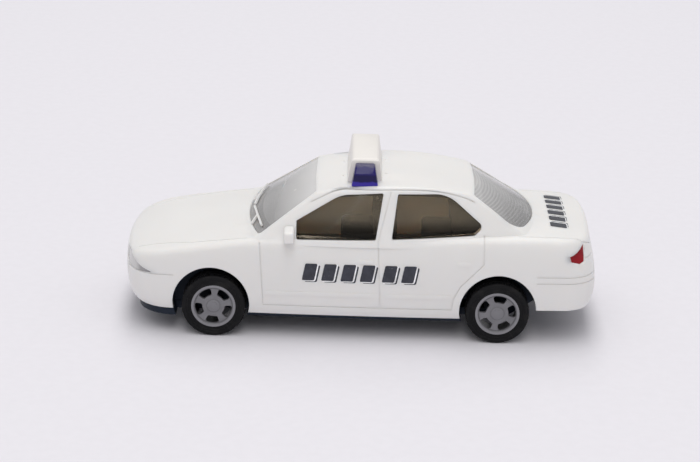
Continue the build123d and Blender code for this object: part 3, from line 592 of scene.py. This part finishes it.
def screen_plastic(name, colour, pitch):
    """Clear windscreen and rear window, hazed paler towards the roof as painted reflection."""
    material, tree, shader, place = new_material(name)
    along = axis_of(tree, place, "X")
    rear = spread(tree, along, metres(REAR_ENDS), FALL)
    # Heating lines of the rear window bow with its lower edge
    across = maths(tree, "ABSOLUTE", axis_of(tree, place, "Y"))
    bowed = less(tree, along, maths(tree, "POWER", across, 2.0), share=HEATING_BOW)
    wave = maths(tree, "FRACT", times(tree, bowed, 1 / pitch))
    line = spread(tree, away_from(tree, wave, 0.5), HEATING_WIDTH, FALL)
    line = times(tree, line, rear)
    band = times(tree, rear, spread(tree, along, metres(REAR_BAND)))
    cloud = noise(tree, place, size=3.0, detail=3.0)
    tone = tint(tree, spread(tree, cloud, UPPER), colour, shade(colour, 0.8), share=0.15)
    tone = tint(tree, line, tone, HEATING_TONE, share=0.4)
    dots = specks(tree, place, size=1.5, amount=0.08)
    tone = tint(tree, dots, tone, SPECK_TONE, share=0.4)
    tree.links.new(tone, shader.inputs["Base Color"])
    # Painted reflection: the screens grow less clear towards the roof, so their pale colour shows
    clear = blend(tree, rear,
                  spread(tree, along, metres(FRONT_PLACES), FRONT_CLEAR, smooth=False),
                  spread(tree, along, metres(REAR_PLACES), REAR_CLEAR))
    clear = less(tree, clear, line, share=0.09)
    clear = less(tree, clear, band, share=0.08)
    clear = less(tree, clear, dots, share=0.2, clamp=True)
    tree.links.new(clear, shader.inputs["Transmission Weight"])
    skin = noise(tree, place, size=0.9)
    set_roughness(tree, shader, skin, (0.08, 0.14))
    shader.inputs["IOR"].default_value = SCREEN_INDEX
    set_bump(tree, shader, skin, depth=0.0008)
    return material


def lens_plastic(name, colour, clear, ribs, axis, shine):
    """Coloured clear plastic of a lamp, with fine ribs on its face."""
    material, tree, shader, place = new_material(name)
    cloud = noise(tree, place, size=0.9)
    tone = blend(tree, spread(tree, cloud, WIDE), shade(colour, 0.8), colour)
    tree.links.new(tone, shader.inputs["Base Color"])
    shader.inputs["Transmission Weight"].default_value = clear
    shader.inputs["IOR"].default_value = LENS_INDEX
    shader.inputs["Roughness"].default_value = 0.12
    shader.inputs["Specular IOR Level"].default_value = shine
    turns = times(tree, axis_of(tree, place, axis), 2 * math.pi / (ribs * MM))
    skin = noise(tree, place, size=0.35, detail=1.0)
    height = maths(tree, "ADD", times(tree, maths(tree, "SINE", turns), 0.5),
                   times(tree, skin, 0.3))
    set_bump(tree, shader, height, depth=0.012)
    return material


def headlamp_plastic(name, colour, pale):
    """Ribbed headlamp, pale across the front and grey where it wraps round the corner."""
    material = lens_plastic(name, colour, clear=0.1, ribs=0.35, axis="Y", shine=0.5)
    tree = material.node_tree
    shader = tree.nodes["Principled BSDF"]
    place = add(tree, "ShaderNodeTexCoord").outputs["Object"]
    ahead = spread(tree, axis_of(tree, place, "X"), metres(HEADLAMP_FRONT))
    grey = shader.inputs["Base Color"].links[0].from_socket
    tree.links.new(blend(tree, ahead, grey, pale), shader.inputs["Base Color"])
    return material


def beacon_plastic(name, colour):
    """Blue clear plastic, painted: highlight on top, shade half way up and glow at its foot."""
    material, tree, shader, place = new_material(name)
    cloud = noise(tree, place, size=0.8)
    # The bands waver by a little under the noise
    waver = times(tree, maths(tree, "SUBTRACT", cloud, 0.5), 0.3 * MM)
    height = maths(tree, "ADD", axis_of(tree, place, "Z"), waver)
    tone = colour
    # Painted shade from half way up leaves the foot as a painted glow; on top, a painted
    # highlight
    for heights, share in BEACON_PAINTED_SHADES:
        tone = blend(tree, spread(tree, height, metres(heights)), tone, shade(colour, share))
    tone = blend(tree, spread(tree, height, metres(BEACON_TOP)), tone, BEACON_PAINTED_HIGHLIGHT)
    tree.links.new(tone, shader.inputs["Base Color"])
    shader.inputs["Transmission Weight"].default_value = 0.25
    shader.inputs["IOR"].default_value = LENS_INDEX
    shader.inputs["Roughness"].default_value = 0.15
    shader.inputs["Specular IOR Level"].default_value = 0.2
    set_bump(tree, shader, cloud, depth=0.012)
    return material


def rim_plastic(name, colour, axle):
    """Silver-grey rim with a paler flange, a ring pressed into it and a paler hub cap."""
    material, tree, shader, place = new_material(name)
    flat, across = from_axle(tree, place, axle)
    away = add(tree, "ShaderNodeVectorMath", {0: flat}, operation="LENGTH").outputs["Value"]
    flange = spread(tree, away, metres(RIM_FLANGE))
    hub = spread(tree, away, metres(RIM_HUB), FALL)
    ring = spread(tree, away_from(tree, away, RIM_RING * MM), metres(RIM_RING_WIDTH), FALL)
    cap = spread(tree, away_from(tree, away, RIM_CAP * MM), metres(RIM_CAP_WIDTH), FALL)
    cloud = noise(tree, place, size=1.4, detail=3.0)
    tone = blend(tree, spread(tree, cloud, NARROW), shade(colour, 0.9), colour)
    paler = maths(tree, "MAXIMUM", flange, times(tree, hub, 0.4))
    tone = blend(tree, paler, tone, shade(colour, 1.22))
    # Painted shade in the pressed ring and at the edge of the hub cap, where the bump sinks them
    lines = maths(tree, "ADD", times(tree, ring, 0.5), times(tree, cap, 0.25))
    tone = blend(tree, lines, tone, shade(colour, 0.3))
    # Painted shade: the barrel behind the slots is darkened
    outside = spread(tree, maths(tree, "ABSOLUTE", across), metres(RIM_SHADED_BARREL))
    tone = blend(tree, outside, shade(colour, 0.22), tone)
    tree.links.new(tone, shader.inputs["Base Color"])
    grain = noise(tree, place, size=0.2)
    set_roughness(tree, shader, grain, (0.3, 0.42))
    height = maths(tree, "SUBTRACT", times(tree, grain, 0.1), maths(tree, "MAXIMUM", ring, cap))
    set_bump(tree, shader, height, depth=0.03)
    return material


def tyre_plastic(name, colour, axle):
    """Black tyre with a little dust and faint marks that run out from the axle."""
    material, tree, shader, place = new_material(name)
    flat, _ = from_axle(tree, place, axle)
    unit = add(tree, "ShaderNodeVectorMath", {0: flat}, operation="NORMALIZE").outputs["Vector"]
    rays = add(tree, "ShaderNodeTexNoise", {"Vector": unit, "Scale": 14.0, "Detail": 2.0})
    ray = spread(tree, rays.outputs["Fac"], (0.62, 0.72))
    dust = spread(tree, noise(tree, place, size=1.1, detail=3.0), (0.52, 0.72))
    tone = tint(tree, dust, colour, TYRE_DUST, share=0.35)
    tone = tint(tree, ray, tone, TYRE_MARK, share=0.3)
    tree.links.new(tone, shader.inputs["Base Color"])
    grain = noise(tree, place, size=0.22)
    set_roughness(tree, shader, grain, (0.5, 0.7))
    shader.inputs["Specular IOR Level"].default_value = 0.15
    set_bump(tree, shader, maths(tree, "ADD", grain, times(tree, ray, 0.6)), depth=0.006)
    return material


def printed_ink(name, colour):
    """Printed ink: a little uneven, with pinholes that the plastic shows through."""
    material, tree, shader, place = new_material(name)
    cloud = noise(tree, place, size=0.7, detail=3.0)
    worn = tuple(part * 1.5 + 0.006 for part in colour)
    tone = blend(tree, spread(tree, cloud, WIDE), colour, worn)
    holes = spread(tree, noise(tree, place, size=0.16), (0.70, 0.76))
    tone = tint(tree, holes, tone, PINHOLE_TONE, share=0.35)
    tree.links.new(tone, shader.inputs["Base Color"])
    set_roughness(tree, shader, cloud, (0.34, 0.46))
    set_bump(tree, shader, noise(tree, place, size=0.12), depth=0.0015)
    return material


# Wheels

def open_slots(rim, axle, first, detail):
    """Widen the slots of a rim between its spokes and round off its edges."""
    show_only(rim)
    bpy.ops.object.mode_set(mode="EDIT")
    bpy.ops.mesh.select_all(action="SELECT")
    bpy.ops.mesh.dissolve_limited(angle_limit=math.radians(FLAT_ANGLE))
    bpy.ops.object.mode_set(mode="OBJECT")
    for corner in rim.data.vertices:
        x, z = corner.co.x / MM - axle[0], corner.co.z / MM - axle[1]
        away = math.hypot(x, z)
        if SLOT_RING[0] < away < SLOT_RING[1]:
            angle = math.degrees(math.atan2(z, x))
            middle = first + round((angle - first) / SLOT_PITCH) * SLOT_PITCH
            angle = math.radians(middle + (angle - middle) * detail.slot_width)
            away = SLOT_MIDDLE + (away - SLOT_MIDDLE) * detail.slot_depth
            corner.co.x = (axle[0] + away * math.cos(angle)) * MM
            corner.co.z = (axle[1] + away * math.sin(angle)) * MM
    edge = rim.modifiers.new("edge", "BEVEL")
    edge.width = detail.rim_edge
    edge.segments = EDGE_STEPS
    edge.limit_method = "ANGLE"
    edge.angle_limit = math.radians(EDGE_ANGLE)
    bpy.ops.object.modifier_apply(modifier=edge.name)
    bpy.ops.object.shade_smooth_by_angle(angle=math.radians(WHEEL_CREASE))


def turned_ring(name, outline, steps):
    """Turn a closed outline of (distance from the axle, place across) about the Y axis."""
    bpy.ops.object.select_all(action="DESELECT")
    bpy.ops.mesh.primitive_plane_add(size=0.2 * MM)
    piece = bpy.context.object
    piece.name = name
    bpy.ops.object.mode_set(mode="EDIT")
    bpy.ops.mesh.select_mode(type="VERT")
    bpy.ops.mesh.select_all(action="SELECT")
    bpy.ops.mesh.merge(type="CENTER")
    bpy.ops.transform.translate(value=(outline[0][0] * MM, outline[0][1] * MM, 0))
    for start, end in zip(outline, outline[1:] + outline[:1]):
        move = ((end[0] - start[0]) * MM, (end[1] - start[1]) * MM, 0)
        bpy.ops.mesh.extrude_vertices_move(TRANSFORM_OT_translate={"value": move})
    bpy.ops.mesh.select_all(action="SELECT")
    bpy.ops.mesh.spin(steps=steps, angle=2 * math.pi, center=(0, 0, 0), axis=(0, 1, 0))
    bpy.ops.mesh.select_all(action="SELECT")
    bpy.ops.mesh.remove_doubles(threshold=2 * MERGE_DISTANCE * MM)
    bpy.ops.mesh.normals_make_consistent(inside=False)
    bpy.ops.object.mode_set(mode="OBJECT")
    return piece


def treaded_tyre(name, depth):
    """Tyre about the origin, with rings in its walls and grooves round and across its tread."""
    other_half = tuple((radius, -across) for radius, across in reversed(TYRE_HALF))
    tyre = turned_ring(name, TYRE_HALF + other_half, TYRE_STEPS)

    def in_groove(face):
        middle = face.center / MM
        turn = math.atan2(middle.z, middle.x) / (2 * math.pi)
        return (round(turn * TYRE_STEPS - 0.5) % GROOVE_STEPS == 0
                and GROOVE_ACROSS[0] < abs(middle.y) < GROOVE_ACROSS[1]
                and math.hypot(middle.x, middle.z) > GROOVE_RADIUS)

    pick(tyre, "FACE", in_groove)
    bpy.ops.mesh.extrude_region_shrink_fatten(TRANSFORM_OT_shrink_fatten={"value": -depth})
    bpy.ops.object.mode_set(mode="OBJECT")
    bpy.ops.object.shade_smooth_by_angle(angle=math.radians(WHEEL_CREASE))
    return tyre


# Printed blocks

def block_row(name, size, grow, spots):
    """Flat rounded blocks in a row, leaning a little and cut into a fine grid."""
    wide, tall = size[0] + 2 * grow, size[1] + 2 * grow
    bpy.ops.object.select_all(action="DESELECT")
    bpy.ops.mesh.primitive_plane_add(size=1)
    block = bpy.context.object
    block.name = name
    bpy.ops.object.mode_set(mode="EDIT")
    bpy.ops.transform.resize(value=(wide * MM, tall * MM, 1))
    for side in (1, -1):
        pick(block, "VERT", lambda corner: corner.co.y * side > 0)
        bpy.ops.transform.translate(value=(side * BLOCK_LEAN / 2 * MM, 0, 0))
    bpy.ops.mesh.select_all(action="SELECT")
    bpy.ops.mesh.bevel(offset=(BLOCK_CORNER + grow) * MM, segments=BLOCK_CORNER_STEPS,
                       affect="VERTICES")
    for axis, reach in ((0, wide + BLOCK_LEAN), (1, tall)):
        cuts = round(reach / BLOCK_CELL)
        for index in range(1, cuts):
            spot = [0, 0, 0]
            spot[axis] = (index / cuts - 0.5) * reach * MM
            bpy.ops.mesh.select_all(action="SELECT")
            bpy.ops.mesh.bisect(plane_co=spot, plane_no=(axis == 0, axis == 1, 0))
    bpy.ops.object.mode_set(mode="OBJECT")
    block.location.x = spots[0] * MM
    row = [block]
    for spot in spots[1:]:
        show_only(block)
        bpy.ops.object.duplicate()
        bpy.context.object.location.x = spot * MM
        row.append(bpy.context.object)
    for item in row:
        item.select_set(True)
    bpy.context.view_layer.objects.active = block
    bpy.ops.object.join()
    bpy.ops.object.transform_apply(location=True, rotation=True, scale=True)
    return block


def lay_on(piece, body, place, layer, thickness):
    """Press a flat piece onto the body along its own normal and give it its thickness."""
    piece.matrix_world = place
    show_only(piece)
    wrap = piece.modifiers.new("lay", "SHRINKWRAP")
    wrap.target = body
    wrap.wrap_method = "PROJECT"
    wrap.use_project_z = True
    wrap.use_negative_direction = True
    wrap.use_positive_direction = False
    wrap.offset = layer * thickness
    bpy.ops.object.modifier_apply(modifier=wrap.name)
    shell = piece.modifiers.new("ink", "SOLIDIFY")
    shell.thickness = thickness
    shell.offset = -1
    bpy.ops.object.modifier_apply(modifier=shell.name)
    bpy.ops.object.transform_apply(location=True, rotation=True, scale=True)
    bpy.ops.object.shade_smooth_by_angle(angle=math.radians(INK_CREASE))


# Stage and pieces

def add_camera():
    """Camera where the photograph was taken from."""
    yaw, dip, roll = (math.radians(angle) for angle in (CAMERA_YAW, CAMERA_DIP, CAMERA_ROLL))
    ahead = Vector((math.sin(yaw) * math.cos(dip), -math.cos(yaw) * math.cos(dip),
                    -math.sin(dip)))
    right = ahead.cross(Vector((0, 0, 1))).normalized()
    up = right.cross(ahead).normalized()
    right, up = (math.cos(roll) * right + math.sin(roll) * up,
                 math.cos(roll) * up - math.sin(roll) * right)
    bpy.ops.object.camera_add()
    camera = bpy.context.object
    camera.name = "photo_camera"
    turn = Matrix((right, up, -ahead)).transposed().to_4x4()
    camera.matrix_world = Matrix.Translation(Vector(CAMERA_PLACE) * MM) @ turn
    camera.data.lens = CAMERA_LENS
    camera.data.sensor_width = SENSOR_WIDTH
    camera.data.clip_start = CAMERA_NEAR * MM
    bpy.context.scene.camera = camera


class StageOperator(bpy.types.Operator):
    """Floor, lamp, light tent and camera"""
    bl_idname = "model_saloon.stage"
    bl_label = "Add stage"

    def execute(self, context):
        stage = context.scene.saloon_stage
        add_camera()
        bpy.ops.mesh.primitive_plane_add(size=FLOOR_SIZE * MM, location=(0, 0, 0))
        floor = context.object
        floor.name = "floor"
        material, tree, shader, place = new_material("floor_paper")
        fibre = noise(tree, place, size=1.2, detail=4.0)
        tone = blend(tree, spread(tree, fibre, WIDE), shade(stage.paper, 0.985), stage.paper)
        tree.links.new(tone, shader.inputs["Base Color"])
        shader.inputs["Roughness"].default_value = 0.9
        shader.inputs["Specular IOR Level"].default_value = 0.2
        floor.data.materials.append(material)
        world = bpy.data.worlds.new("tent")
        world.use_nodes = True
        background = world.node_tree.nodes["Background"]
        background.inputs["Color"].default_value = TENT_TINT
        background.inputs["Strength"].default_value = stage.tent
        context.scene.world = world
        bpy.ops.object.light_add(type="AREA", location=stage.lamp_place)
        lamp = context.object
        lamp.name = "soft_box"
        lamp.data.shape = "RECTANGLE"
        lamp.data.size, lamp.data.size_y = stage.lamp_size
        lamp.data.energy = stage.lamp
        lamp.data.color = LAMP_TINT
        lamp.rotation_euler = Vector(stage.lamp_place).to_track_quat("Z", "Y").to_euler()
        context.scene.view_settings.view_transform = "Standard"
        return {"FINISHED"}


class BodyOperator(bpy.types.Operator):
    """White body, mirrors and wipers, the light bar's cover, the chassis and the grille"""
    bl_idname = "model_saloon.body"
    bl_label = "Add body"

    def execute(self, context):
        finish = context.scene.saloon_finish
        soft = context.scene.saloon_detail.body_soft
        white = moulded("white_plastic", finish.body, soft=soft, **SHELL_SKIN)
        for node in ("body_shell", "mirror_left", "mirror_right", "wiper_left", "wiper_right"):
            dress(node_copy(node, node + "_white", "car"), white)
        cream = moulded("cover_plastic", finish.cover, **SHELL_SKIN)
        dress(node_copy("bar_cover", "bar_cover_cream", "car"), cream)
        navy = moulded("navy_plastic", finish.chassis, **CHASSIS_SKIN)
        dress(node_copy("chassis", "chassis_navy", "car"), navy)
        dark = moulded("grille_plastic", shade(finish.inside, 1.8), **GRILLE_SKIN)
        dress(node_copy("grille", "grille_dark", "car"), dark)
        return {"FINISHED"}


class MarkingOperator(bpy.types.Operator):
    """Rows of plain printed blocks on the doors and the boot lid"""
    bl_idname = "model_saloon.markings"
    bl_label = "Add printed blocks"

    def execute(self, context):
        finish = context.scene.saloon_finish
        thickness = context.scene.saloon_detail.ink
        body = bpy.data.objects["body_shell_white"]
        inks = {"navy": printed_ink("navy_ink", finish.marking),
                "white": printed_ink("white_ink", finish.white_ink)}
        door_wide, door_tall = DOOR_BLOCK_SIZE
        boot_wide, boot_long = BOOT_BLOCK_SIZE
        door_z = DOOR_BLOCK_FOOT + door_tall / 2
        boot_x = BOOT_BLOCK_REAR + boot_long / 2
        # Name, block's size, middles across the row, directions right, up and outwards, place
        rows = (
            ("door_left", DOOR_BLOCK_SIZE, [door_wide / 2 - x for x in DOOR_BLOCKS],
             (-1, 0, 0), (0, 0, 1), (0, 1, 0), (0, PRINT_START, door_z)),
            ("door_right", DOOR_BLOCK_SIZE, [x - door_wide / 2 for x in DOOR_BLOCKS],
             (1, 0, 0), (0, 0, 1), (0, -1, 0), (0, -PRINT_START, door_z)),
            ("boot", BOOT_BLOCK_SIZE, [boot_wide / 2 - y for y in BOOT_BLOCKS],
             (0, -1, 0), (1, 0, 0), (0, 0, 1), (boot_x, 0, PRINT_START)),
        )
        for name, size, spots, right, up, out, start in rows:
            turn = Matrix((right, up, out)).transposed().to_4x4()
            for index, (layer, ink, grow, shift) in enumerate(BLOCK_LAYERS):
                piece = block_row(f"{name}_{layer}", size, grow, spots)
                middle = Vector(start) + shift[0] * Vector(right) + shift[1] * Vector(up)
                place = Matrix.Translation(middle * MM) @ turn
                lay_on(piece, body, place, index + 1, thickness)
                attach(piece, "car")
                dress(piece, inks[ink])
        return {"FINISHED"}


class InsideOperator(bpy.types.Operator):
    """Clear moulding of the windows, seats and steering wheel"""
    bl_idname = "model_saloon.inside"
    bl_label = "Add windows and inside"

    def execute(self, context):
        finish = context.scene.saloon_finish
        pitch = context.scene.saloon_detail.heating_pitch
        dark = moulded("inside_plastic", finish.inside, **INSIDE_SKIN)
        for node in ("interior", "steering_wheel"):
            dress(node_copy(node, node + "_dark", "car"), dark)
        panes = node_copy("glazing", "glazing_clear", "car")
        dress(panes, side_plastic("smoked_plastic", finish.side_glass))
        screen = screen_plastic("screen_plastic", finish.screen_glass, pitch)
        panes.data.materials.append(screen)
        for face in panes.data.polygons:
            if abs(face.normal.x) > SCREEN_SLANT:
                face.material_index = 1
        return {"FINISHED"}


class LampOperator(bpy.types.Operator):
    """Headlamps, tail lamps and the beacons on the roof"""
    bl_idname = "model_saloon.lamps"
    bl_label = "Add lamps"

    def execute(self, context):
        finish = context.scene.saloon_finish
        blue = beacon_plastic("blue_plastic", finish.beacon)
        red = lens_plastic("red_plastic", finish.lens, clear=0.25, ribs=0.3, axis="Z", shine=0.2)
        clear = headlamp_plastic("lamp_plastic", finish.headlamp, finish.headlamp_front)
        kinds = (("beacon", blue, "beacon_blue"), ("headlamp", clear, "lamp_clear"),
                 ("tail_lamp", red, "lamp_red"))
        for side in ("left", "right"):
            for kind, material, slot in kinds:
                node = f"{kind}_{side}"
                dress(node_copy(node, node + "_lens", "car"), material)
        return {"FINISHED"}


class WheelOperator(bpy.types.Operator):
    """Wheels on their axles"""
    bl_idname = "model_saloon.wheels"
    bl_label = "Add wheels"

    def execute(self, context):
        finish = context.scene.saloon_finish
        detail = context.scene.saloon_detail
        steel = moulded("pin_steel", finish.pin, **PIN_SKIN)
        steel.node_tree.nodes["Principled BSDF"].inputs["Metallic"].default_value = 1.0
        model = treaded_tyre("tyre_model", detail.tread_depth)
        for end, axle in (("front", FRONT_AXLE), ("rear", REAR_AXLE)):
            body = end + "_wheels"
            black = tyre_plastic(f"tyre_{end}_plastic", finish.tyre, axle)
            silver = rim_plastic(f"rim_{end}_plastic", finish.rim, axle)
            dress(node_copy(end + "_axle", end + "_axle_pin", body), steel)
            for side, middle in (("left", TYRE_MIDDLE), ("right", -TYRE_MIDDLE)):
                rim = node_copy(f"rim_{end}_{side}", f"rim_{end}_{side}_face", body, even=False)
                open_slots(rim, axle, SLOT_TURNS[f"{end}_{side}"], detail)
                dress(rim, silver)
                show_only(model)
                bpy.ops.object.duplicate()
                tyre = context.object
                tyre.name = f"tyre_{end}_{side}_tread"
                tyre.location = metres((axle[0], middle, axle[1]))
                bpy.ops.object.transform_apply(location=True, rotation=True, scale=True)
                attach(tyre, body)
                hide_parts(f"tyre_{end}_{side}")
                dress(tyre, black)
        bpy.data.objects.remove(model)
        return {"FINISHED"}


OPERATORS = (StageOperator, BodyOperator, MarkingOperator, InsideOperator, LampOperator,
             WheelOperator)


class SaloonPanel(bpy.types.Panel):
    """Buttons for the stage and for each group of pieces"""
    bl_idname = "VIEW3D_PT_model_saloon"
    bl_label = "Model saloon"
    bl_space_type = "VIEW_3D"
    bl_region_type = "UI"
    bl_category = "Model Saloon"

    def draw(self, context):
        for operator in OPERATORS:
            self.layout.operator(operator.bl_idname)


CLASSES = (FinishSettings, DetailSettings, StageSettings, *OPERATORS, SaloonPanel)


def register():
    for item in CLASSES:
        bpy.utils.register_class(item)
    bpy.types.Scene.saloon_finish = bpy.props.PointerProperty(type=FinishSettings)
    bpy.types.Scene.saloon_detail = bpy.props.PointerProperty(type=DetailSettings)
    bpy.types.Scene.saloon_stage = bpy.props.PointerProperty(type=StageSettings)


def unregister():
    del bpy.types.Scene.saloon_stage
    del bpy.types.Scene.saloon_detail
    del bpy.types.Scene.saloon_finish
    for item in reversed(CLASSES):
        bpy.utils.unregister_class(item)


def main():
    register()
    bpy.ops.model_saloon.stage()
    bpy.ops.model_saloon.body()
    bpy.ops.model_saloon.markings()
    bpy.ops.model_saloon.inside()
    bpy.ops.model_saloon.lamps()
    bpy.ops.model_saloon.wheels()


if __name__ == "__main__":
    main()
